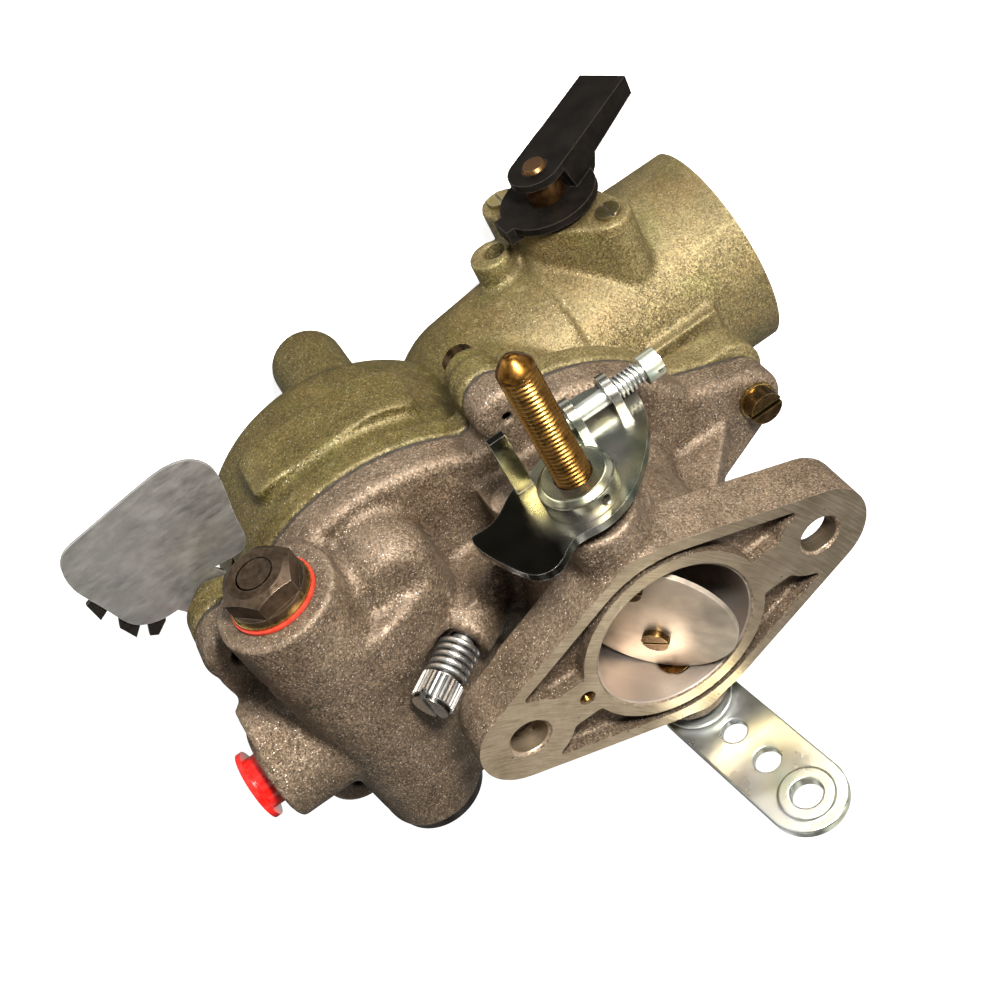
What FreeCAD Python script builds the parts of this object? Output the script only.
import FreeCAD, Part
import math
import os
import re
import Sketcher
from FreeCAD import Vector as Vec

# Updraft carburetor, single barrel, two-bolt flange.
# Origin: centre of the manifold flange face. +Z leaves the flange, +X points
# to the air horn inlet, +Y to the choke lever and the long end of the throttle shaft.
os.makedirs("parts", exist_ok=True)
doc = FreeCAD.newDocument("carburetor")

# ================================================================ dimensions
DIMS = dict(
    # manifold flange, barrel and cover joint
    bolt_span=74.6, bolt_rad=4.4, flange_thick=13.0, flange_end_rad=11.8, flange_mid_rad=26.5,
    bore_rad=18.26, barrel_rad=23.0, joint_z=-50.0, gasket_thick=0.8, cover_top_z=-41.0,
    orifice_x=-22.7, orifice_y=0.1,
    # throttle shaft, its bosses, plate and levers
    shaft_z=-9.4, shaft_x=-1.2, shaft_rad=3.97, run_gap=0.05, rod_rad=3.80, rod_tip_y=80.5,
    boss_rad=9.0, boss_end_y=36.0, boss_low_y=-31.0,
    plate_minor=18.0, plate_major=18.35, plate_thick=1.2, plate_angle=45.0, plate_seat=0.9,
    stop_plate_y=40.0, stop_plate_thick=2.0, hub_rad=8.0, hub_height=4.5,
    stop_screw_z=-25.5, stop_screw_rise=4.6, stop_screw_rad=1.9,
    lever_y=-38.5, lever_thick=2.5, lever_rad=9.3, lever_long=36.2, lever_tilt=8.7,
    # strainer barrel, along Y, and fuel inlet, along X
    strainer_x=-63.5, strainer_z=-32.0, strainer_boss_rad=13.5, strainer_half=45.0,
    strainer_low_y=-32.8, strainer_bore=6.5,
    inlet_y=-2.0, inlet_z=-35.0, inlet_end_x=-90.0, inlet_boss_rad=11.8, inlet_bore=5.4,
    hex_flats=15.0, hex_top_y=53.0, fibre_thick=0.9, washer_thick=0.8, fibre_rad=9.6,
    # fuel bowl
    bowl_x=-40.0, bowl_rim_rad=46.0, bowl_rad=42.0, bowl_floor_z=-102.5, bowl_wall=3.5,
    bowl_rim_thick=6.4, lug_drop=5.0, jet_x=-31.5, jet_y=27.0, nozzle_rad=3.0,
    # air horn, elbow and choke
    horn_z=-98.2, horn_rad=28.0, horn_bore=25.4, horn_end_x=74.0, elbow_rad=25.0, elbow_bore=21.0,
    choke_x=39.0, choke_pad_y=39.0, choke_shaft_rad=3.2, choke_tip_y=52.5,
    choke_plate_rad=25.0, choke_plate_thick=1.2, choke_ear_reach=16.8,
    choke_low_y=41.0, choke_high_y=49.5, choke_arm_long=34.0,
    choke_rest_angle=24.0, choke_arm_angle=30.0, choke_sheet=2.0,
    # cover screws, tag, venturi, float, needle
    screw_rad=2.5, screw_head_rad=4.1, screw_head_tall=3.6, lock_thick=1.0, tag_thick=0.7,
    venturi_lip=21.5, venturi_throat=13.5, venturi_low_z=-82.0,
    float_pivot_x=-71.0, float_pivot_z=-57.5, float_pin_rad=1.5, valve_x=-63.5, valve_y=-12.0,
    needle_y=10.0, needle_head_rad=4.75,
)
sheet = doc.addObject("Spreadsheet::Sheet", "Dims")
for row, (alias, value) in enumerate(DIMS.items(), 1):
    sheet.set("A%d" % row, alias)
    sheet.set("B%d" % row, str(value))
    sheet.setAlias("B%d" % row, alias)
doc.recompute()


class dim:
    """The sheet's values, for shapes built in code."""


for alias in DIMS:
    setattr(dim, alias, float(getattr(sheet, alias)))

# levels and places that several pieces share
BOWL_TOP = dim.joint_z - dim.gasket_thick
RIM_Z = BOWL_TOP - dim.bowl_rim_thick        # underside of the bowl rim
LUG_Z = RIM_Z - dim.lug_drop                 # underside of the screw lugs
COVER_ROOT = dim.cover_top_z - 1             # castings on the cover start inside it
STOP_SCREW_Y = dim.stop_plate_y + dim.stop_screw_rise

LOW_SCREWS = [(-3.0, 41.0), (-3.0, -41.0), (-78.0, 28.0), (-78.0, -28.0)]    # from the bowl side
TAG_SCREW = LOW_SCREWS[2]
TOP_SCREW = (49.4, 2.6)                                                    # from the cover side

THROTTLE_SCREWS_Y = (-6.5, 12.5)
CHOKE_SCREWS_Y = (-13.0, 13.0)
PLATE_HOLE_RAD = 1.75
PLATE_TAP_RAD = 1.3
PLATE_SCREW_RAD = 1.25
PLATE_NORMAL = Vec(-math.sin(math.radians(dim.plate_angle)), 0,
                   math.cos(math.radians(dim.plate_angle)))

NEEDLE_AXIS = Vec(0.793, 0, -0.609)                # way the needle points
NEEDLE_FACE = Vec(-37.9, dim.needle_y, -24.4)      # outer face of its boss

EAR_AXIS = Vec(0.477, 0, 0.879)                    # line through both choke pad ears
CHOKE_CENTRE = Vec(dim.choke_x, 0, dim.horn_z)
EARS = [CHOKE_CENTRE - EAR_AXIS * dim.choke_ear_reach,
        CHOKE_CENTRE + EAR_AXIS * dim.choke_ear_reach]

# ================================================================ document objects
TURN = {"z": FreeCAD.Rotation(),
        "x": FreeCAD.Rotation(Vec(0, 1, 0), 90),
        "y": FreeCAD.Rotation(Vec(1, 0, 0), -90)}
pieces = []


def expression(formula):
    """A formula in alias names, written as a document expression."""
    return re.sub(r"[A-Za-z_]\w*",
                  lambda m: "Dims." + m.group(0) if m.group(0) in DIMS else m.group(0),
                  str(formula))


def place(obj, at, axis="z"):
    obj.Placement = FreeCAD.Placement(Vec(0, 0, 0), TURN[axis])
    for letter, formula in zip("xyz", at):
        obj.setExpression("Placement.Base." + letter, expression(formula))
    return obj


def primitive(kind, name, at, axis="z", **sizes):
    obj = doc.addObject("Part::" + kind, name)
    for prop, formula in sizes.items():
        obj.setExpression(prop, expression(formula))
    return place(obj, at, axis)


def fused(name, solids):
    obj = doc.addObject("Part::MultiFuse", name)
    obj.Shapes = solids
    return obj


def cut_piece(label, base, tool):
    obj = doc.addObject("Part::Cut", label)
    obj.Base = base
    obj.Tool = tool
    piece(obj, label)


def piece(obj, label):
    """Name an object and put it on the list of exported pieces."""
    obj.Label = label
    pieces.append(obj)


def coded_piece(label, shape):
    """A piece whose shape was built in code from the sheet's values."""
    obj = doc.addObject("Part::Feature", label)
    obj.Shape = shape
    piece(obj, label)


def turned(label, axis, centre, outside, bores=()):
    """Round piece about one axis; each stage is (radius, length, start) or
    (start radius, end radius, length, start); centre is the other two coordinates."""
    def stages(group, table):
        solids = []
        for number, (*radii, length, start) in enumerate(table, 1):
            at = list(centre)
            at.insert("xyz".index(axis), start)
            name = "%s_%s_%d" % (label, group, number)
            if len(radii) == 1:
                solid = primitive("Cylinder", name, at, axis, Radius=radii[0], Height=length)
            else:
                solid = primitive("Cone", name, at, axis,
                                  Radius1=radii[0], Radius2=radii[1], Height=length)
            solids.append(solid)
        return solids[0] if len(solids) == 1 else fused(label + "_" + group, solids)

    body = stages("outside", outside)
    if bores:
        cut_piece(label, body, stages("bore", bores))
    else:
        piece(body, label)


# ---------------------------------------------------------------- part-design bodies
def new_sketch(body, name, plane="XY_Plane"):
    sketch = body.newObject("Sketcher::SketchObject", name)
    support = [f for f in body.Origin.OriginFeatures if f.Role == plane][0]
    sketch.AttachmentSupport = [(support, "")]
    sketch.MapMode = "FlatFace"
    return sketch


def circle(sketch, radius, name):
    """Circle on the sketch origin, its radius bound to a formula."""
    index = sketch.addGeometry(Part.Circle(Vec(0, 0, 0), Vec(0, 0, 1), 1.0), False)
    constraint = sketch.addConstraint(Sketcher.Constraint("Radius", index, 1.0))
    sketch.renameConstraint(constraint, name)
    sketch.setExpression("Constraints." + name, expression(radius))
    sketch.addConstraint(Sketcher.Constraint("Coincident", index, 3, -1, 1))


def polygon(sketch, points):
    count = len(points)
    lines = []
    for k in range(count):
        line = Part.LineSegment(Vec(*points[k], 0), Vec(*points[(k + 1) % count], 0))
        lines.append(sketch.addGeometry(line, False))
    for k in range(count):
        sketch.addConstraint(
            Sketcher.Constraint("Coincident", lines[k], 2, lines[(k + 1) % count], 1))


def pad(body, sketch, length, name, reverse=False):
    feature = body.newObject("PartDesign::Pad", name)
    feature.Profile = sketch
    feature.setExpression("Length", expression(length))
    feature.Reversed = reverse


def ring(label, outer, inner, thick, at):
    """Flat ring about the Y axis through a point, growing toward +Y."""
    body = doc.addObject("PartDesign::Body", label)
    sketch = new_sketch(body, label + "_sketch")
    circle(sketch, outer, "outer")
    circle(sketch, inner, "inner")
    pad(body, sketch, thick, label + "_pad")
    piece(place(body, at, "y"), label)


# ================================================================ shape helpers
def rod(radius, start, end):
    start, end = Vec(*start), Vec(*end)
    return Part.makeCylinder(radius, (end - start).Length, start, end - start)


def x_rod(radius, y, z, x0, x1):
    return rod(radius, (x0, y, z), (x1, y, z))


def y_rod(radius, x, z, y0, y1):
    return rod(radius, (x, y0, z), (x, y1, z))


def z_rod(radius, x, y, z0, z1):
    return rod(radius, (x, y, z0), (x, y, z1))


def taper(radius1, radius2, start, end):
    start, end = Vec(*start), Vec(*end)
    return Part.makeCone(radius1, radius2, (end - start).Length, start, end - start)


def block(x0, x1, y0, y1, z0, z1):
    return Part.makeBox(x1 - x0, y1 - y0, z1 - z0, Vec(x0, y0, z0))


def hull(centre1, radius1, centre2, radius2):
    """Face in the XY plane, the outline round two circles."""
    dx, dy = centre2[0] - centre1[0], centre2[1] - centre1[1]
    along = math.atan2(dy, dx)
    spread = math.acos((radius1 - radius2) / math.hypot(dx, dy))

    def on_circle(centre, radius, angle):
        return Vec(centre[0] + radius * math.cos(angle), centre[1] + radius * math.sin(angle), 0)

    left1 = on_circle(centre1, radius1, along + spread)
    left2 = on_circle(centre2, radius2, along + spread)
    right2 = on_circle(centre2, radius2, along - spread)
    right1 = on_circle(centre1, radius1, along - spread)
    edges = [Part.LineSegment(left1, left2).toShape(),
             Part.Arc(left2, on_circle(centre2, radius2, along), right2).toShape(),
             Part.LineSegment(right2, right1).toShape(),
             Part.Arc(right1, on_circle(centre1, radius1, along + math.pi), left1).toShape()]
    return Part.Face(Part.Wire(edges))


def slab(face, z0, z1):
    lifted = face.copy()
    lifted.translate(Vec(0, 0, z0))
    return lifted.extrude(Vec(0, 0, z1 - z0))


def prism(points, sweep):
    """Straight-sided outline, closed here, swept along a vector."""
    corners = [Vec(*p) for p in points]
    return Part.Face(Part.makePolygon(corners + corners[:1])).extrude(Vec(*sweep))


def spline_prism(points, sweep):
    """Smooth closed outline through the points, swept along a vector."""
    curve = Part.BSplineCurve()
    curve.interpolate([Vec(*p) for p in points], PeriodicFlag=True)
    return Part.Face(Part.Wire([curve.toShape()])).extrude(Vec(*sweep))


def union(first, *others):
    return first.multiFuse(list(others)).removeSplitter()


def minus(base, *tools):
    return base.cut(list(tools))


def largest_solid(shape):
    return max(shape.Solids, key=lambda solid: solid.Volume)


def try_fillet(shape, radius, pick):
    """Fillet the picked edges; the shape stays sharp where the kernel can't round them."""
    edges = [e for e in shape.Edges if pick(e)]
    if not edges:
        return shape
    try:
        rounded = shape.makeFillet(radius, edges)
        if rounded.isValid() and not rounded.isNull() and rounded.Volume > 0:
            return rounded
    except Exception:    # guards makeFillet, which raises on geometry it can't fillet
        pass
    return shape


def lying_at(z):
    """Edge picker: the edge lies flat at height z."""
    return lambda e: abs(e.BoundBox.ZMin - z) < 1e-4 and abs(e.BoundBox.ZMax - z) < 1e-4


def stand(shape, base, along):
    """Carry a shape drawn along X with its thickness along Z to base, X along a
    direction in the XZ plane and thickness along +Y."""
    y_axis = Vec(0, 1, 0)
    turn = FreeCAD.Rotation(along, y_axis.cross(along), y_axis, "XZY")
    shape.Placement = FreeCAD.Placement(Vec(*base), turn)
    return shape


def slot_tool(top, side, axis, length, width, depth):
    """Box that cuts a slot along side, depth deep from top."""
    tool = Part.makeBox(length, width, depth + 1, Vec(-length / 2, -width / 2, -1))
    turn = FreeCAD.Rotation(side, axis.cross(side), axis, "ZXY")
    tool.Placement = FreeCAD.Placement(top, turn)
    return tool


def screw(under_head, direction, radius, length, head_rad, head_tall, slot):
    """Slotted screw; direction is the way its shank points."""
    start, axis = Vec(*under_head), Vec(*direction)
    axis.normalize()
    top = start - axis * head_tall
    shank = Part.makeCylinder(radius, length, start, axis)
    solid = shank.fuse(Part.makeCylinder(head_rad, head_tall, top, axis)).removeSplitter()
    side = Vec(0, 0, 1) if abs(axis.z) < 0.6 else Vec(1, 0, 0)
    side = (side - axis * side.dot(axis)).normalize()
    return minus(solid, slot_tool(top, side, axis, 4 * head_rad, slot, head_tall * 0.45))


def coil(start, direction, radius, wire_rad, length, turns):
    """Helical spring swept with a round wire."""
    path = Part.Wire(Part.makeHelix(length / turns, length, radius).Edges)
    section = Part.Wire([Part.makeCircle(wire_rad, Vec(radius, 0, 0), Vec(0, 1, 0))])
    spring = path.makePipeShell([section], True, True)
    turn = FreeCAD.Rotation(Vec(0, 0, 1), Vec(*direction))
    spring.Placement = FreeCAD.Placement(Vec(*start), turn)
    return spring


def joint_outline(z0, z1, grow=0.0):
    """Outline shared by cover, gasket and bowl rim, between two heights."""
    solids = [z_rod(dim.bowl_rim_rad + grow, dim.bowl_x, 0, z0, z1),
              z_rod(39.0 + grow, 0, 0, z0, z1)]
    for x, y in LOW_SCREWS[:2]:
        solids.append(z_rod(6.8 + grow, x, y, z0, z1))
    for x, y in LOW_SCREWS[2:]:
        solids.append(slab(hull((-62, y * 0.72), 17 + grow, (x, y), 8.6 + grow), z0, z1))
    horn_lug = hull((22, 0), 20 + grow, (TOP_SCREW[0] - 1, TOP_SCREW[1] - 1), 8.0 + grow)
    solids.append(slab(horn_lug, z0, z1))
    return union(*solids)


# ================================================================ throttle body
FLANGE_RIM = 2.8            # rim left round the pockets in the flange face
RIDGE_X, RIDGE_Z, RIDGE_RAD = -41.5, -35.0, 10.0
RIDGE_Y0, RIDGE_Y1 = -26.0, 31.5
STOP_LUG_X = -13.0

# sloping hump between strainer barrel and ridge: x, z
HUMP = [
    (dim.strainer_x, dim.cover_top_z - 0.5), (dim.strainer_x, dim.strainer_z + 12.2),
    (-59.0, dim.strainer_z + 12.1), (-51.0, -21.3), (-44.0, -23.4), (-38.5, -25.9),
    (-34.6, -29.0), (-32.1, -33.2), (-31.2, -38.0), (-31.2, dim.cover_top_z - 0.5)]
# swelling on the +Y side of the inlet boss: y, z
SWELL = [
    (dim.inlet_y, COVER_ROOT), (dim.inlet_y, dim.inlet_z + 11.6), (3.5, -25.0), (9.0, -29.0),
    (13.4, -33.6), (15.2, -38.0), (15.6, COVER_ROOT)]
SWELL_X = -88.5
# thick lug at the cover corner: x, y
CORNER_LUG = [(-86.0, 24.0), (-85.6, 12.0), (-79.0, 10.5), (-70.0, 12.0), (-70.0, 30.0),
              (-80.0, 30.0)]


def flange_outline(inset, z0, z1):
    half_span = dim.bolt_span / 2
    mid, end = dim.flange_mid_rad - inset, dim.flange_end_rad - inset
    return union(slab(hull((0, 0), mid, (half_span, 0), end), z0, z1),
                 slab(hull((0, 0), mid, (-half_span, 0), end), z0, z1))


def strainer_barrel():
    x, z, radius = dim.strainer_x, dim.strainer_z, dim.strainer_boss_rad
    low, high = dim.strainer_low_y, dim.strainer_half
    return union(y_rod(radius, x, z, 24, high),
                 taper(12.6, radius - 0.3, (x, low, z), (x, 26, z)),
                 block(x - radius + 2.5, x + radius, low + 3, high - 3, COVER_ROOT, z))


def ridge():
    """Hump and round-topped ridge, planed flat over the ridge's +Y end."""
    return union(
        prism([(x, -27.5, z) for x, z in HUMP], (0, 56, 0)),
        y_rod(RIDGE_RAD, RIDGE_X, RIDGE_Z, RIDGE_Y0, RIDGE_Y1).cut(
            block(-60, -20, 28.5, 50, -27.6, -20)),
        Part.makeSphere(RIDGE_RAD, Vec(RIDGE_X, RIDGE_Y1, RIDGE_Z)).cut(
            block(-60, -20, 20, 50, -27.6, -20)),
        block(RIDGE_X - RIDGE_RAD, RIDGE_X + RIDGE_RAD, RIDGE_Y0, RIDGE_Y1,
              COVER_ROOT, RIDGE_Z),
        z_rod(RIDGE_RAD, RIDGE_X, RIDGE_Y1, COVER_ROOT, RIDGE_Z))


def body_castings():
    """Solid casting of the throttle body, before any hole."""
    top, root = dim.cover_top_z, COVER_ROOT
    iy, iz = dim.inlet_y, dim.inlet_z
    flange = flange_outline(0, -dim.flange_thick, 0)
    barrel = z_rod(dim.barrel_rad, 0, 0, top - 2, -dim.flange_thick + 1)
    neck = taper(27.0, dim.barrel_rad, (0, 0, top - 2), (0, 0, top + 8))
    cover = try_fillet(joint_outline(dim.joint_z, top), 2.5, lying_at(top))
    shaft_boss = union(
        y_rod(dim.boss_rad, dim.shaft_x, dim.shaft_z, dim.boss_low_y, dim.boss_end_y),
        y_rod(11.5, 0, dim.shaft_z - 7, -25, 27))
    web = block(-9, 9, -26, 30, root, dim.shaft_z)
    inlet = union(x_rod(dim.inlet_boss_rad, iy, iz, dim.inlet_end_x, dim.strainer_x),
                  block(-86, dim.strainer_x, iy - 9.5, iy + 9.5, root, iz))
    swell = prism([(SWELL_X, y, z) for y, z in SWELL], (dim.strainer_x - SWELL_X, 0, 0))
    corner_lug = prism([(x, y, dim.joint_z + 1.2) for x, y in CORNER_LUG],
                       (0, 0, top - dim.joint_z - 1.3))
    # boss leaning with the idle needle, and its square foot
    needle_boss = rod(6.6, NEEDLE_FACE, (-20.0, dim.needle_y, -38.15))
    ny = dim.needle_y
    needle_foot = union(block(-37.6, -20.0, ny - 6.4, ny + 6.4, root, -32.0),
                        block(-39.2, -29.5, ny - 6.9, ny + 6.9, root, -25.2))
    # lug that stops the idle speed screw
    stop_lug = y_rod(4.2, STOP_LUG_X, dim.stop_screw_z, 18, 37.0)
    stop_foot = block(STOP_LUG_X - 4, STOP_LUG_X + 4, 14, 30, root, dim.stop_screw_z)
    # triangular rib on the horn side
    rib = prism([(20, 2.5, root), (42, 2.5, root), (20, 2.5, -17)], (0, -5, 0))
    return union(flange, barrel, neck, cover, shaft_boss, web, strainer_barrel(), ridge(),
                 inlet, swell, corner_lug, needle_boss, needle_foot, stop_lug, stop_foot, rib)


def flange_pockets():
    """Cast pockets in the flange face, between bore ring, bolt bosses and rim."""
    half_span = dim.bolt_span / 2
    keep = [z_rod(21.9, 0, 0, -6, 4)]
    for side in (-1, 1):
        keep += [z_rod(10.6, side * half_span, 0, -6, 4),
                 block(*sorted((side * 18, side * 30)), -5.4, 5.7, -6, 4),
                 block(*sorted((side * half_span, side * (half_span + 12))), -12, 12, -6, 4)]
    return minus(flange_outline(FLANGE_RIM, -4.0, 1), *keep)


def throttle_body():
    half_span, bore = dim.bolt_span / 2, dim.bore_rad
    joint, under = dim.joint_z, dim.joint_z - 1
    sx, sz, low = dim.strainer_x, dim.strainer_z, dim.strainer_low_y
    tools = [flange_pockets(),
             z_rod(bore, 0, 0, under, 1),
             taper(bore, bore + 0.7, (0, 0, -0.6), (0, 0, 0.1)),
             y_rod(dim.shaft_rad + dim.run_gap, dim.shaft_x, dim.shaft_z, -60, 60),
             # recess of the shaft seal
             y_rod(7.0, dim.shaft_x, dim.shaft_z, dim.boss_low_y - 0.1, dim.boss_low_y + 3.0)]
    # bolt holes with a seat behind each; the +X seat is open toward -Y
    for side, seat_z in ((-1, -7.6), (1, -5.4)):
        tools += [z_rod(dim.bolt_rad, side * half_span, 0, -20, 1),
                  z_rod(8.2, side * half_span, 0, -20, seat_z)]
    tools += [block(half_span - 6.5, half_span + 8.1, -20, 0, -20, -5.4),
              # strainer bore, and the wider mouth of the blind plug
              y_rod(dim.strainer_bore, sx, sz, low + 4, dim.strainer_half + 1),
              y_rod(9.05, sx, sz, low - 1, low + 6.0),
              x_rod(dim.inlet_bore, dim.inlet_y, dim.inlet_z, dim.inlet_end_x - 1, sx),
              # fuel valve seat bore up to the strainer, and gallery over the float chamber
              z_rod(5.0, dim.valve_x, dim.valve_y, under, sz - 3),
              block(-76, -36, -22, 24, under, joint + 4),
              # needle bore, idle passage, and scoop under the needle's head
              Part.makeCylinder(2.55, 26, NEEDLE_FACE - NEEDLE_AXIS * 5, NEEDLE_AXIS),
              rod(1.2, (-29.3, dim.needle_y, -31.0), (-14.0, 8.0, -42.8)),
              Part.makeCylinder(5.3, 20, NEEDLE_FACE, -NEEDLE_AXIS),
              # clearance for the blind plug's head
              y_rod(11.9, sx, sz, low - 14, low),
              z_rod(1.85, dim.orifice_x, dim.orifice_y, -6, 1)]
    # the outer screw holes run on through the castings on the cover
    for x, y in LOW_SCREWS:
        end = 0 if x < -50 else dim.cover_top_z - 1.2
        tools.append(z_rod(dim.screw_rad + 0.05, x, y, under, end))
    tools.append(z_rod(dim.screw_rad + 0.3, *TOP_SCREW, under, dim.cover_top_z + 10))
    return minus(body_castings(), *tools)


coded_piece("throttle_body", throttle_body())


# ================================================================ fuel bowl with air horn
ELBOW_X = 1.0                                   # axis of the upright way
ELBOW_BALL = Vec(3.0, 0, dim.horn_z + 1.0)      # centre of the rounded turn
PIPE_START = (3.0, 0, dim.horn_z + 0.8)
HORN_ROOT_X = 27.5
JET_BOSS_Z = -124.5
PAD_DEPTH = 26


def choke_pad():
    """Two-eared pad at the +Y end of the choke shaft."""
    reach = dim.choke_ear_reach
    upper = hull((0, 0), 9.6, (reach, 0), 5.4)
    lower = hull((0, 0), 9.6, (-reach, 0), 5.4)
    solid = upper.fuse(lower).removeSplitter().extrude(Vec(0, 0, PAD_DEPTH))
    return stand(solid, (dim.choke_x, dim.choke_pad_y - PAD_DEPTH, dim.horn_z), EAR_AXIS)


def bowl_castings():
    """Solid casting of bowl, elbow and horn, before any hole."""
    hz, floor = dim.horn_z, dim.bowl_floor_z
    bowl = Part.makeCone(dim.bowl_rad - 3.0, dim.bowl_rad + 1.2, RIM_Z - floor,
                         Vec(dim.bowl_x, 0, floor))
    bowl = try_fillet(bowl, 9.0, lying_at(floor))
    elbow = z_rod(dim.elbow_rad, ELBOW_X, 0, hz, BOWL_TOP - 1)
    ball = Part.makeSphere(dim.elbow_rad + 0.6, ELBOW_BALL)
    pipe = taper(dim.elbow_rad + 0.6, dim.horn_rad - 0.5, PIPE_START, (HORN_ROOT_X, 0, hz))
    horn = union(x_rod(dim.horn_rad, 0, hz, HORN_ROOT_X, dim.horn_end_x),
                 taper(dim.horn_rad + 0.4, dim.horn_rad + 0.06,
                       (HORN_ROOT_X, 0, hz), (59.5, 0, hz)))
    horn_pad = block(39, 58, -9, 8, hz + 20, hz + 30.0)
    lugs = [z_rod(5.9, x, y, LUG_Z, BOWL_TOP - 1) for x, y in LOW_SCREWS]
    lugs.append(slab(hull((30, 0), 13, TOP_SCREW, 8.6), RIM_Z - 3.5, BOWL_TOP - 1))
    gusset = block(22, 52, -3, 3, hz + 20, BOWL_TOP - 3)
    jet_boss = Part.makeCylinder(9.5, 32, Vec(-32.0, dim.jet_y, JET_BOSS_Z))
    jet_boss = try_fillet(jet_boss, 6.5, lying_at(JET_BOSS_Z))
    # raised block on the +Y wall of the bowl
    rib = block(-58, -16, 36, 44.0, -81, -65)
    rib = try_fillet(rib, 3.0, lambda e: e.BoundBox.YLength > 5)
    rib = rib.common(z_rod(dim.bowl_rim_rad, dim.bowl_x, 0, -90, -60))
    elbow_boss = y_rod(5.4, 20.8, -105, 0, 33.5)
    low_boss = y_rod(7.5, dim.choke_x, hz, -34, -20)
    return union(joint_outline(RIM_Z, BOWL_TOP), bowl, elbow, ball, pipe, horn, horn_pad,
                 *lugs, gusset, jet_boss, rib, elbow_boss, choke_pad(), low_boss)


def float_chamber():
    """Hollow of the bowl, clear of the elbow's wall and the screw columns."""
    floor = dim.bowl_floor_z + dim.bowl_wall
    hollow = Part.makeCone(dim.bowl_rad - 6.4, dim.bowl_rad - 2.4, BOWL_TOP + 1 - floor,
                           Vec(dim.bowl_x, 0, floor))
    wall = union(z_rod(dim.elbow_rad, ELBOW_X, 0, dim.horn_z, BOWL_TOP + 3),
                 Part.makeSphere(dim.elbow_rad + 0.6, ELBOW_BALL))
    columns = [z_rod(7.2, x, y, RIM_Z - 6, BOWL_TOP + 2) for x, y in LOW_SCREWS]
    return largest_solid(minus(hollow, wall, *columns))


def air_way():
    hz, bore = dim.horn_z, dim.elbow_bore
    return union(z_rod(bore, ELBOW_X, 0, hz, -81),
                 Part.makeSphere(bore + 1.0, ELBOW_BALL),
                 taper(bore + 1.0, dim.horn_bore - 0.35, PIPE_START, (24.6, 0, hz)),
                 x_rod(dim.horn_bore, 0, hz, 24, dim.horn_end_x + 1))


def fuel_bowl():
    hz, above = dim.horn_z, BOWL_TOP + 1
    tools = [float_chamber(), air_way(),
             # seat of the venturi
             z_rod(20.05, 0, 0, -84, above),
             z_rod(dim.venturi_lip + 0.1, 0, 0, BOWL_TOP - 2.5, above),
             # choke shaft bore and the recess of its plug
             y_rod(dim.choke_shaft_rad + dim.run_gap, dim.choke_x, hz, -40, 60),
             y_rod(5.0, dim.choke_x, hz, -34.1, -32.2)]
    for x, y in LOW_SCREWS:
        seat_rad = 6.9 if (x, y) == TAG_SCREW else 5.8
        tools.append(z_rod(dim.screw_rad + 0.3, x, y, RIM_Z - 8, above))
        tools.append(z_rod(seat_rad, x, y, LUG_Z, RIM_Z - 13))
    tools.append(z_rod(dim.screw_rad + 0.05, *TOP_SCREW, above, RIM_Z - 3.4))
    for ear in EARS:
        tools.append(y_rod(1.65, ear.x, ear.z, dim.choke_pad_y + 1, dim.choke_pad_y - 9))
    # blind hole in the boss on the elbow
    tools.append(y_rod(2.8, 22.3, -105.2, 34, 25))
    # post of the nozzle goes in after the air way is cut
    shape = union(minus(bowl_castings(), *tools), z_rod(6.0, 0, 0, -122, -97))
    jet_x, jet_y, bore = dim.jet_x, dim.jet_y, dim.nozzle_rad + 0.05
    return minus(shape,
                 z_rod(bore, 0, 0, -116, -96),
                 z_rod(bore, jet_x, jet_y, -112, -99),
                 # passage from the main jet to the nozzle
                 z_rod(1.5, jet_x, jet_y, -113.5, -111),
                 rod(1.5, (jet_x, jet_y, -113), (0, 0, -115)))


coded_piece("fuel_bowl", fuel_bowl())


# ================================================================ gasket of the joint
def gasket():
    joint = dim.joint_z
    below, above = joint - 2, joint + 1
    # opening over the float chamber, keeping the barrel side and two corners
    opening = z_rod(39.6, dim.bowl_x, 0, below, above)
    opening = opening.cut(z_rod(27, 0, 0, joint - 3, joint + 3))
    for side in (1, -1):
        corner = hull((-78, side * 28), 6.5, (-90, side * 30), 6.5)
        opening = opening.cut(slab(corner, joint - 3, joint + 3))
    holes = [z_rod(dim.screw_rad + 0.3, x, y, below, above) for x, y in LOW_SCREWS + [TOP_SCREW]]
    return minus(joint_outline(BOWL_TOP, joint, -0.6), opening,
                 z_rod(19.2, 0, 0, below, above), *holes)


coded_piece("body_gasket", gasket())


# ================================================================ strainer and fuel inlet
ring("strainer_plug_gasket", "fibre_rad", "strainer_bore + 0.1", "fibre_thick",
     ("strainer_x", "strainer_half", "strainer_z"))
ring("strainer_plug_washer", "fibre_rad - 0.5", "strainer_bore + 0.1", "washer_thick",
     ("strainer_x", "strainer_half + fibre_thick", "strainer_z"))


def strainer_plug():
    """Hexagon head with a round collar at its base and a round shank."""
    body = doc.addObject("PartDesign::Body", "strainer_plug")
    corner_rad = dim.hex_flats / math.sqrt(3)
    angles = [math.radians(60 * k + 12) for k in range(6)]
    hexagon = new_sketch(body, "HexSketch")
    polygon(hexagon, [(corner_rad * math.cos(a), corner_rad * math.sin(a)) for a in angles])
    pad(body, hexagon, "hex_top_y - strainer_half - fibre_thick - washer_thick", "HexPad")
    shank = new_sketch(body, "ShankSketch")
    circle(shank, "strainer_bore - 0.05", "shank")
    pad(body, shank, 10, "ShankPad", reverse=True)
    collar = new_sketch(body, "CollarSketch")
    circle(collar, "fibre_rad - 1.0", "collar")
    pad(body, collar, 1.4, "CollarPad")
    place(body, ("strainer_x", "strainer_half + fibre_thick + washer_thick", "strainer_z"), "y")
    piece(body, "strainer_plug")


strainer_plug()

STRAINER_LINE = ("strainer_x", "strainer_z")
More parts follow.
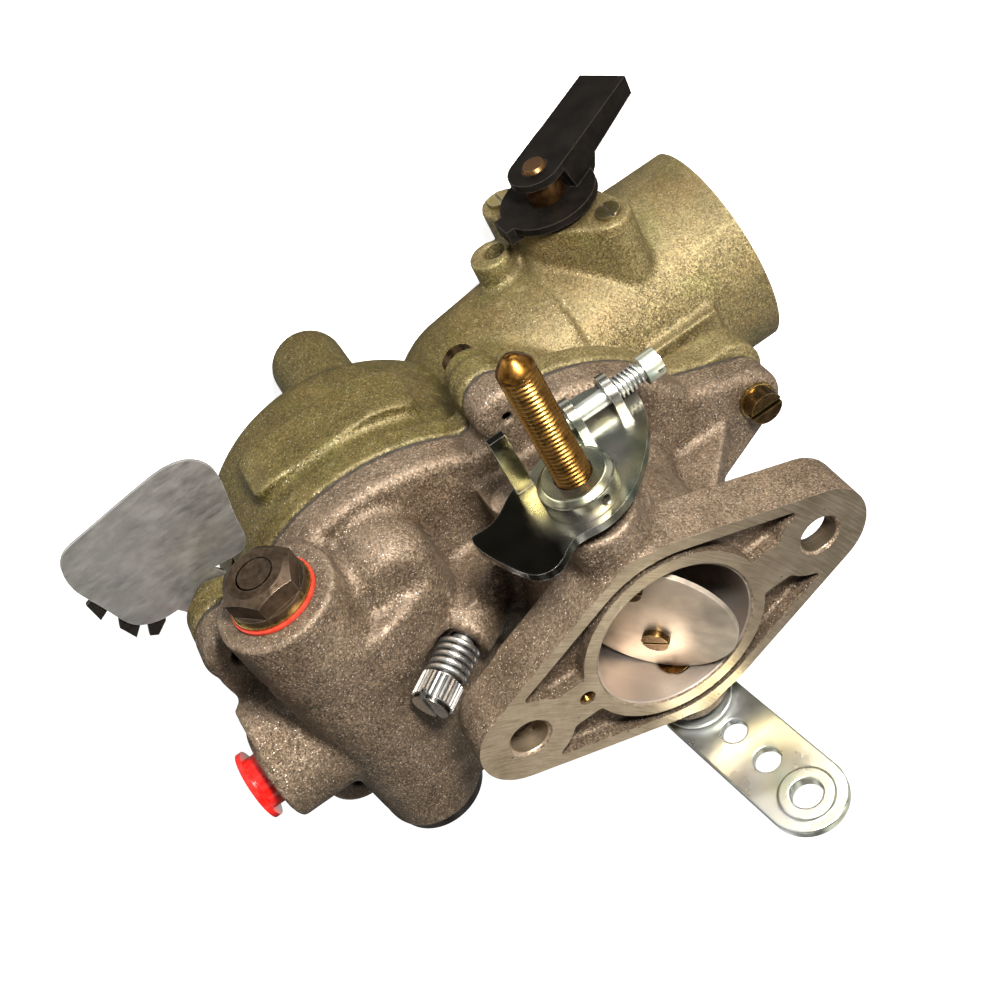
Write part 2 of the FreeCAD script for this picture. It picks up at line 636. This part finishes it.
# thin tube with a solid rim, open toward the plug
turned("inlet_strainer", "y", STRAINER_LINE,
       [(5.0, 52, -18), ("strainer_bore - 0.1", 2, 32)],
       [(4.5, 54, -16)])
# blind plug at the -Y end, with a round socket in its head
turned("passage_plug", "y", STRAINER_LINE,
       [(9.0, 5.6, "strainer_low_y - 0.1"), (11.6, 2.8, "strainer_low_y - 2.85")],
       [(4.0, 6, "strainer_low_y - 3.5")])
# hollow cap with a wide flange, pushed in the fuel inlet
turned("inlet_cap", "x", ("inlet_y", "inlet_z"),
       [("inlet_bore - 0.05", 9.5, "inlet_end_x - 0.5"),
        (6.4, 4.1, "inlet_end_x - 4.12"),
        (8.4, 1.3, "inlet_end_x - 5.2")],
       [(4.0, 12, "inlet_end_x - 6")])
# small bush in the flange face
turned("flange_orifice", "z", ("orifice_x", "orifice_y"),
       [(1.8, 5, -5.6)],
       [(0.6, 8, -7), (0.6, 1.7, 1.6, -2.15)])


# ================================================================ throttle shaft group
SHAFT_LINE = ("shaft_x", "shaft_z")
THROTTLE_AXIS = (dim.shaft_x, dim.shaft_z)
PLATE_BASE = dim.plate_seat + 0.02       # plate's underside above the shaft axis


def on_throttle(y, height):
    """Point over the shaft axis, a height along the plate's normal."""
    return Vec(dim.shaft_x, y, dim.shaft_z) + PLATE_NORMAL * height


def throttle_shaft():
    x, z, tip, rod_rad = dim.shaft_x, dim.shaft_z, dim.rod_tip_y, dim.rod_rad
    shaft = union(y_rod(dim.shaft_rad, x, z, -44.0, 48.0),
                  y_rod(rod_rad, x, z, 47.5, tip - 2.2),
                  taper(rod_rad, 2.0, (x, tip - 2.2, z), (x, tip, z)))
    # flat for the plate, then the two screw holes in it
    flat = Part.makeBox(20, 37.0, 20, Vec(-10, -18.5, 0))
    flat.rotate(Vec(0, 0, 0), Vec(0, 1, 0), -dim.plate_angle)
    flat.translate(on_throttle(0, dim.plate_seat))
    shaft = minus(shaft, flat)
    for y in THROTTLE_SCREWS_Y:
        hole = Part.makeCylinder(PLATE_TAP_RAD, 12, on_throttle(y, -6), PLATE_NORMAL)
        shaft = minus(shaft, hole)
    return shaft


def throttle_plate():
    """Elliptic disc, set off the shaft axis to centre it in the bore."""
    plate = Part.makeCylinder(1.0, dim.plate_thick, Vec(0, 0, 0))
    stretch = FreeCAD.Matrix()
    stretch.scale(Vec(dim.plate_major, dim.plate_minor, 1))
    plate = plate.transformGeometry(stretch)
    plate.translate(Vec(-dim.shaft_x * 1.03, 0, 0))
    for y in THROTTLE_SCREWS_Y:
        plate = minus(plate, z_rod(PLATE_HOLE_RAD, 0, y, -1, 3))
    plate.rotate(Vec(0, 0, 0), Vec(0, 1, 0), -dim.plate_angle)
    plate.translate(on_throttle(0, PLATE_BASE))
    return plate


def throttle_plate_screws():
    head = PLATE_BASE + dim.plate_thick + 0.01
    return Part.makeCompound([
        screw(on_throttle(y, head), -PLATE_NORMAL, PLATE_SCREW_RAD, length=5.6,
              head_rad=3.1, head_tall=1.6, slot=0.7)
        for y in THROTTLE_SCREWS_Y])


coded_piece("throttle_shaft", throttle_shaft())
coded_piece("throttle_plate", throttle_plate())
coded_piece("throttle_plate_screws", throttle_plate_screws())

# outline of the stop lever: x, z
STOP_LEVER = [
    (-22.6, -16.6), (-17.5, -17.2), (-11.6, -21.2), (-6.4, -22.6), (-1.0, -24.5),
    (3.5, -25.5), (4.0, -30.0), (18.5, -30.5), (20.3, -25.0), (18.9, -18.0),
    (15.6, -11.8), (10.6, -5.8), (4.8, -1.4), (-3.3, 0.2), (-8.8, -0.2),
    (-11.5, 1.6), (-15.0, 2.9), (-18.2, 1.6), (-20.6, -2.3), (-23.3, -9.5)]


def stop_lever():
    y0, thick, screw_z = dim.stop_plate_y, dim.stop_plate_thick, dim.stop_screw_z
    lever = spline_prism([(x, y0, z) for x, z in STOP_LEVER], (0, thick, 0))
    # two ears carrying the idle speed screw, and a taller tab
    for x in (5.5, 14.5):
        ear = union(block(x, x + 2.0, y0 + 0.2, STOP_SCREW_Y, -30.0, -21.0),
                    x_rod(4.5, STOP_SCREW_Y, screw_z, x, x + 2.0))
        lever = union(lever, ear)
    lever = union(lever, block(-11.4, -7.6, y0 + 0.5, y0 + 17.0, -20.9, -19.1))
    return minus(lever,
                 y_rod(dim.shaft_rad + 0.03, *THROTTLE_AXIS, y0 - 5, y0 + 5),
                 y_rod(1.1, 1.7, -5.3, y0 - 2, y0 + 4),
                 x_rod(dim.stop_screw_rad + 0.05, STOP_SCREW_Y, screw_z, 0, 30))


coded_piece("throttle_stop_lever", stop_lever())
NUT_Y = "stop_plate_y + stop_plate_thick + 0.02"
turned("stop_lever_nut", "y", SHAFT_LINE,
       [("hub_rad", "hub_height", NUT_Y),
        ("hub_rad", "hub_rad - 1.4", 1.2, NUT_Y + " + hub_height")],
       [("shaft_rad + 0.03", 12, "stop_plate_y")])
coded_piece("idle_speed_screw",
            screw((23.6, STOP_SCREW_Y, dim.stop_screw_z), (-1, 0, 0), dim.stop_screw_rad,
                  length=24.0, head_rad=3.2, head_tall=4.0, slot=1.0))
coded_piece("idle_speed_spring",
            coil((17.0, STOP_SCREW_Y, dim.stop_screw_z), (1, 0, 0),
                 radius=2.26, wire_rad=0.3, length=6.1, turns=6))


def throttle_lever():
    thick, reach, end_rad = dim.lever_thick, dim.lever_long + 0.5, 3.55
    outline = hull((0, 0), dim.lever_rad, (dim.lever_long, 0), dim.lever_rad - 0.01)
    lever = outline.extrude(Vec(0, 0, thick))
    for distance, hole_rad in ((13.0, 3.0), (24.0, 3.1), (reach, end_rad)):
        lever = minus(lever, z_rod(hole_rad, distance, 0, -3, 7))
    # raised ring round the end hole
    collar = minus(z_rod(6.3, reach, 0, thick, thick + 0.7),
                   z_rod(end_rad, reach, 0, thick - 1, thick + 3))
    lever = union(lever, collar)
    lever = minus(lever, z_rod(dim.shaft_rad + 0.03, 0, 0, -3, 7))
    tilt = math.radians(dim.lever_tilt)
    return stand(lever, (dim.shaft_x, dim.lever_y, dim.shaft_z),
                 Vec(math.sin(tilt), 0, math.cos(tilt)))


coded_piece("throttle_lever", throttle_lever())
ring("throttle_shaft_washer", 8.6, "shaft_rad + 0.04", 1.2,
     ("shaft_x", "lever_y + lever_thick + 0.8", "shaft_z"))
ring("throttle_shaft_seal", 6.9, "shaft_rad + 0.06", 2.6,
     ("shaft_x", "boss_low_y + 0.3", "shaft_z"))
ring("throttle_shaft_retainer", 7.2, "shaft_rad + 0.04", 1.4,
     ("shaft_x", "boss_low_y - 1.5", "shaft_z"))
turned("throttle_lever_nut", "y", SHAFT_LINE,
       [(6.6, 3.6, "lever_y - 3.7")],
       [("shaft_rad + 0.03", 8, "lever_y - 5")])


# ================================================================ choke group
CHOKE_FLAT_Z = dim.horn_z + 0.6          # flat of the shaft, before it is turned
CHOKE_PLATE_Z = CHOKE_FLAT_Z + 0.02
CHOKE_PLATE_TOP = CHOKE_PLATE_Z + dim.choke_plate_thick


def choke_turned(shape):
    """Turn to the rest position, partly closed."""
    shape.rotate(CHOKE_CENTRE, Vec(0, 1, 0), dim.choke_rest_angle)
    return shape


def choke_shaft():
    x, z, radius, tip = dim.choke_x, dim.horn_z, dim.choke_shaft_rad, dim.choke_tip_y
    shaft = union(y_rod(radius, x, z, -31.5, tip - 0.8),
                  taper(radius, radius - 0.6, (x, tip - 0.8, z), (x, tip, z)))
    shaft = minus(shaft, block(x - 8, x + 8, -25.6, 25.6, CHOKE_FLAT_Z, z + 8))
    for y in CHOKE_SCREWS_Y:
        shaft = minus(shaft, z_rod(PLATE_TAP_RAD, x, y, z - 8, z + 8))
    return choke_turned(shaft)


def choke_plate():
    x, z = dim.choke_x, dim.horn_z
    plate = z_rod(dim.choke_plate_rad, x, 0, CHOKE_PLATE_Z, CHOKE_PLATE_TOP)
    for y in CHOKE_SCREWS_Y:
        plate = minus(plate, z_rod(PLATE_HOLE_RAD, x, y, z - 1, z + 4))
    return choke_turned(plate)


def choke_plate_screws():
    return choke_turned(Part.makeCompound([
        screw((dim.choke_x, y, CHOKE_PLATE_TOP + 0.01), (0, 0, -1), PLATE_SCREW_RAD,
              length=5.2, head_rad=2.9, head_tall=1.5, slot=0.7)
        for y in CHOKE_SCREWS_Y]))


def choke_lever():
    """Hub disc, raised arm and the wall joining them, drawn lying along +X."""
    sheet_thick, long = dim.choke_sheet, dim.choke_arm_long
    rise = dim.choke_high_y - dim.choke_low_y
    top, edge = rise + sheet_thick, 6.9
    disc = z_rod(12.4, 0, 0, 0, sheet_thick)
    arm = union(z_rod(edge, 0, 0, rise, top),
                slab(hull((0, 0), edge, (12, 0), edge - 0.05), rise, top),
                block(2, long, -edge, 6.7, rise, top))
    # wall outline, deep at the hub and shallow at the tip: x, z
    wall_outline = [(4.0, 0), (10.2, 0), (12.0, 1.0), (14.0, rise - 4.6),
                    (long, rise - 3.2), (long, top), (2, top), (2, rise)]
    wall = prism([(x, -edge, z) for x, z in wall_outline], (0, sheet_thick, 0))
    lever = union(disc, arm, wall)
    # leg bent down at the rim of the disc
    leg = Part.makeBox(3.7, 6.8, sheet_thick + 1.9, Vec(10.4, -3.4, -1.9))
    leg.rotate(Vec(0, 0, 0), Vec(0, 0, 1), 152)
    lever = union(lever, leg)
    lever = minus(lever, z_rod(dim.choke_shaft_rad + 0.03, 0, 0, -5, 25))
    angle = math.radians(dim.choke_arm_angle)
    return stand(lever, (dim.choke_x, dim.choke_low_y, dim.horn_z),
                 Vec(math.cos(angle), 0, -math.sin(angle)))


coded_piece("choke_shaft", choke_shaft())
coded_piece("choke_plate", choke_plate())
coded_piece("choke_plate_screws", choke_plate_screws())
coded_piece("choke_lever", choke_lever())
ring("choke_lever_spacer", 4.8, "choke_shaft_rad + 0.04", 5.4,
     ("choke_x", "choke_low_y + choke_sheet + 0.05", "horn_z"))
coded_piece("choke_pad_screws", Part.makeCompound([
    screw((ear.x, dim.choke_pad_y + 0.02, ear.z), (0, -1, 0), 1.6,
          length=8, head_rad=3.0, head_tall=1.2, slot=0.8)
    for ear in EARS]))
# blind plug over the -Y end of the shaft bore
turned("choke_shaft_plug", "y", ("choke_x", "horn_z"), [(4.95, 1.6, -34.0)])


# ================================================================ idle mixture needle
def idle_needle():
    axis, radius, shank_rad = NEEDLE_AXIS, 2.45, 21.4
    radius, shank_long = 2.45, 21.4
    rim_rad = dim.needle_head_rad
    root_rad, head_tall = rim_rad - 0.55, 6.8
    base = NEEDLE_FACE - axis * 10.0       # underside of the knurled head
    top = base - axis * head_tall
    needle = Part.makeCylinder(radius, shank_long, base, axis)
    needle = needle.fuse(Part.makeCone(radius, 0.3, 4.0, base + axis * shank_long, axis))
    needle = needle.fuse(Part.makeCylinder(root_rad, head_tall, top, axis)).removeSplitter()
    # knurl: shallow teeth, each as (fraction of its pitch, radius)
    teeth = 26
    tooth = ((0.0, root_rad), (0.25, rim_rad), (0.6, rim_rad), (0.85, root_rad))
    side = Vec(0, 1, 0)
    across = axis.cross(side)
    points = []
    for k in range(teeth):
        for fraction, reach in tooth:
            angle = 2 * math.pi * (k + fraction) / teeth
            points.append(base - axis * 5.6 + side * (reach * math.cos(angle))
                          + across * (reach * math.sin(angle)))
    needle = needle.fuse(prism(points, axis * 5.4)).removeSplitter()
    return minus(needle, slot_tool(top, side, axis, length=14, width=1.2, depth=2.0))


coded_piece("idle_mixture_needle", idle_needle())
coded_piece("idle_mixture_spring", coil(NEEDLE_FACE - NEEDLE_AXIS * 9.2, NEEDLE_AXIS,
                                        radius=4.0, wire_rad=0.62, length=8.5, turns=5))


# ================================================================ cover screws and tag
def cover_screw(x, y, z, up, length):
    return screw((x, y, z), (0, 0, up), dim.screw_rad, length,
                 dim.screw_head_rad, dim.screw_head_tall, slot=1.2)


def lock_washer(x, y, z0, z1):
    return minus(z_rod(4.6, x, y, z0, z1), z_rod(dim.screw_rad + 0.1, x, y, z0 - 1, z1 + 1))


bowl_screws = []
lock_washers = []
for x, y in LOW_SCREWS:
    # the tag lies between one lug and its washer
    packing = dim.tag_thick + 0.04 if (x, y) == TAG_SCREW else 0.0
    washer_z = LUG_Z - packing - 0.01
    head_z = washer_z - dim.lock_thick
    bowl_screws.append(cover_screw(x, y, head_z - 0.01, 1, 16.5 + packing))
    lock_washers.append(lock_washer(x, y, head_z, washer_z))
washer_top = dim.cover_top_z + dim.lock_thick
lock_washers.append(lock_washer(*TOP_SCREW, dim.cover_top_z + 0.01, washer_top))
coded_piece("bowl_screws", Part.makeCompound(bowl_screws))
coded_piece("horn_side_screw", cover_screw(*TOP_SCREW, washer_top + 0.01, -1, 14.0))
coded_piece("screw_lock_washers", Part.makeCompound(lock_washers))

# outline of the tag: x, y
TAG = [
    (-97.2, 60.1), (-94.6, 61.7), (-92.0, 62.2), (-83.0, 63.4), (-74.2, 64.5), (-67.9, 64.7),
    (-63.7, 63.3), (-60.9, 59.8), (-60.6, 54.4), (-61.6, 50.0), (-63.6, 42.0), (-65.1, 36.5),
    (-66.8, 34.9), (-69.0, 34.6), (-75.9, 35.2), (-84.0, 31.6), (-91.1, 31.5), (-95.4, 33.9),
    (-97.2, 38.2), (-98.4, 44.9), (-99.7, 51.5), (-99.1, 56.5)]
# clip below the tag, a base and three tongues past its edge: x, y
CLIP = [
    [(-93.0, 50.0), (-86.0, 36.0), (-91.0, 34.0), (-97.5, 46.0)],
    [(-92.0, 48.0), (-100.6, 46.0), (-100.7, 40.3), (-97.6, 41.8), (-92.0, 42.0)],
    [(-92.0, 42.0), (-97.3, 38.6), (-99.0, 35.5), (-97.9, 30.5), (-94.8, 33.4), (-89.0, 39.0)],
    [(-89.0, 39.0), (-93.6, 32.9), (-95.5, 28.8), (-93.9, 27.5), (-90.5, 29.8), (-86.0, 37.0)]]
CLIP_THICK = 1.2


def tag():
    z, thick = LUG_Z - dim.tag_thick - 0.02, dim.tag_thick
    plate = spline_prism([(x, y, z) for x, y in TAG], (0, 0, thick))
    plate = union(plate, slab(hull(TAG_SCREW, 6.2, (-82.0, 36.0), 6.5), z, z + thick))
    return minus(plate, z_rod(dim.screw_rad + 0.25, *TAG_SCREW, z - 2, z + 3))


def tag_clip():
    z = LUG_Z - dim.tag_thick - 0.05 - CLIP_THICK
    return union(*[prism([(x, y, z) for x, y in part], (0, 0, CLIP_THICK)) for part in CLIP])


coded_piece("id_tag", tag())
coded_piece("tag_clip", tag_clip())


# ================================================================ inside the air way
def venturi():
    """Ring turned about Z."""
    lip, throat, low = dim.venturi_lip, dim.venturi_throat, dim.venturi_low_z
    # radius, z
    profile = [(19.9, low), (19.9, BOWL_TOP - 2.4), (lip, BOWL_TOP - 2.4),
               (lip, BOWL_TOP - 0.02), (18.2, BOWL_TOP - 0.02), (15.2, -57.0),
               (throat, -63.0), (throat, -66.0), (15.5, -72.0), (18.6, -79.0), (19.4, low)]
    body = doc.addObject("PartDesign::Body", "venturi")
    sketch = new_sketch(body, "VenturiSketch", "XZ_Plane")
    polygon(sketch, profile)
    turn = body.newObject("PartDesign::Revolution", "VenturiTurn")
    turn.Profile = sketch
    turn.ReferenceAxis = (sketch, ["V_Axis"])
    turn.Angle = 360
    piece(body, "venturi")


venturi()
turned("main_discharge_nozzle", "z", (0, 0),
       [("nozzle_rad", 48, -113), (4.6, 3, -96.9)],
       [(1.6, 52, -114)])
turned("main_jet", "z", ("jet_x", "jet_y"),
       [("nozzle_rad", 10.5, -108.5), (3.9, 2.2, "bowl_floor_z + bowl_wall + 0.02")],
       [(0.8, 14, -110)])
turned("idle_jet", "z", (-26.4, -14), [(2.0, 9, -59.5)], [(0.6, 12, -61)])


# ================================================================ float and fuel valve
def float_assembly():
    px, pz = dim.float_pivot_x, dim.float_pivot_z
    y0, y1 = -14.5, -9.0                   # width of the hinge arm
    pontoon = Part.makeCylinder(33.5, 15, Vec(dim.bowl_x, 0, -82))
    # cleared round the elbow, on the inlet side, and round one screw column
    pontoon = minus(pontoon, z_rod(29.5, ELBOW_X, 0, -90, -60),
                    block(-90, -60.0, -50, 50, -90, -50))
    pontoon = largest_solid(minus(pontoon, z_rod(9.0, *LOW_SCREWS[0], -90, -50)))
    arm = block(px, -50.0, y0, y1, pz - 3.4, pz - 1.9)
    drop = block(-52.0, -50.0, y0, y1, -68.0, pz - 1.9)
    eye = union(y_rod(3.2, px, pz, -15.0, -8.5),
                block(px - 1, px + 3, y0, y1, pz - 3.2, pz - 0.5))
    return minus(union(pontoon, arm, drop, eye),
                 y_rod(dim.float_pin_rad + 0.05, px, pz, -40, 40))


coded_piece("float_assembly", float_assembly())
PIVOT_LINE = ("float_pivot_x", "float_pivot_z")
turned("float_axle", "y", PIVOT_LINE, [("float_pin_rad", 15, -19.2)])
turned("fuel_valve_seat", "z", ("valve_x", "valve_y"),
       [(4.95, 14, "joint_z - 1.7"), (5.6, 2.2, "joint_z - 2.45")],
       [(2.3, 9.5, "joint_z - 3"), (1.0, 16, "joint_z - 3")])
turned("fuel_valve_needle", "z", ("valve_x", "valve_y"),
       [(2.2, 12.6, "float_pivot_z - 1.85"), (2.2, 0.9, 3.1, "float_pivot_z - 1.85 + 12.6")])


def axle_bracket():
    """Two cheeks that carry the float axle, joined by a bridge over it."""
    x = "float_pivot_x - 3"
    cheeks = [primitive("Box", name, (x, y, "float_pivot_z - 3.6"),
                        Length=5.4, Width=3, Height=14)
              for name, y in (("bracket_cheek_low", -18.2), ("bracket_cheek_high", -8.3))]
    bridge = primitive("Box", "bracket_bridge", (x, -18.2, "float_pivot_z + 9.0"),
                       Length=4.6, Width=12.9, Height=1.5)
    bore = primitive("Cylinder", "bracket_bore", ("float_pivot_x", -40, "float_pivot_z"), "y",
                     Radius="float_pin_rad + 0.02", Height=60)
    cut_piece("float_axle_bracket", fused("bracket_body", cheeks + [bridge]), bore)


axle_bracket()

# ================================================================ export
doc.recompute()
failed = [o.Name for o in doc.Objects if "Invalid" in o.State or "Error" in o.State]
if failed:
    raise RuntimeError("failed objects: %s" % failed)
for obj in pieces:
    shape = obj.Shape
    if shape.isNull() or not shape.isValid():
        raise RuntimeError("bad shape in %s" % obj.Label)
    if len(shape.Solids) < 1:
        raise RuntimeError("no solid in %s" % obj.Label)
    shape.exportStep("parts/%s.step" % obj.Label)
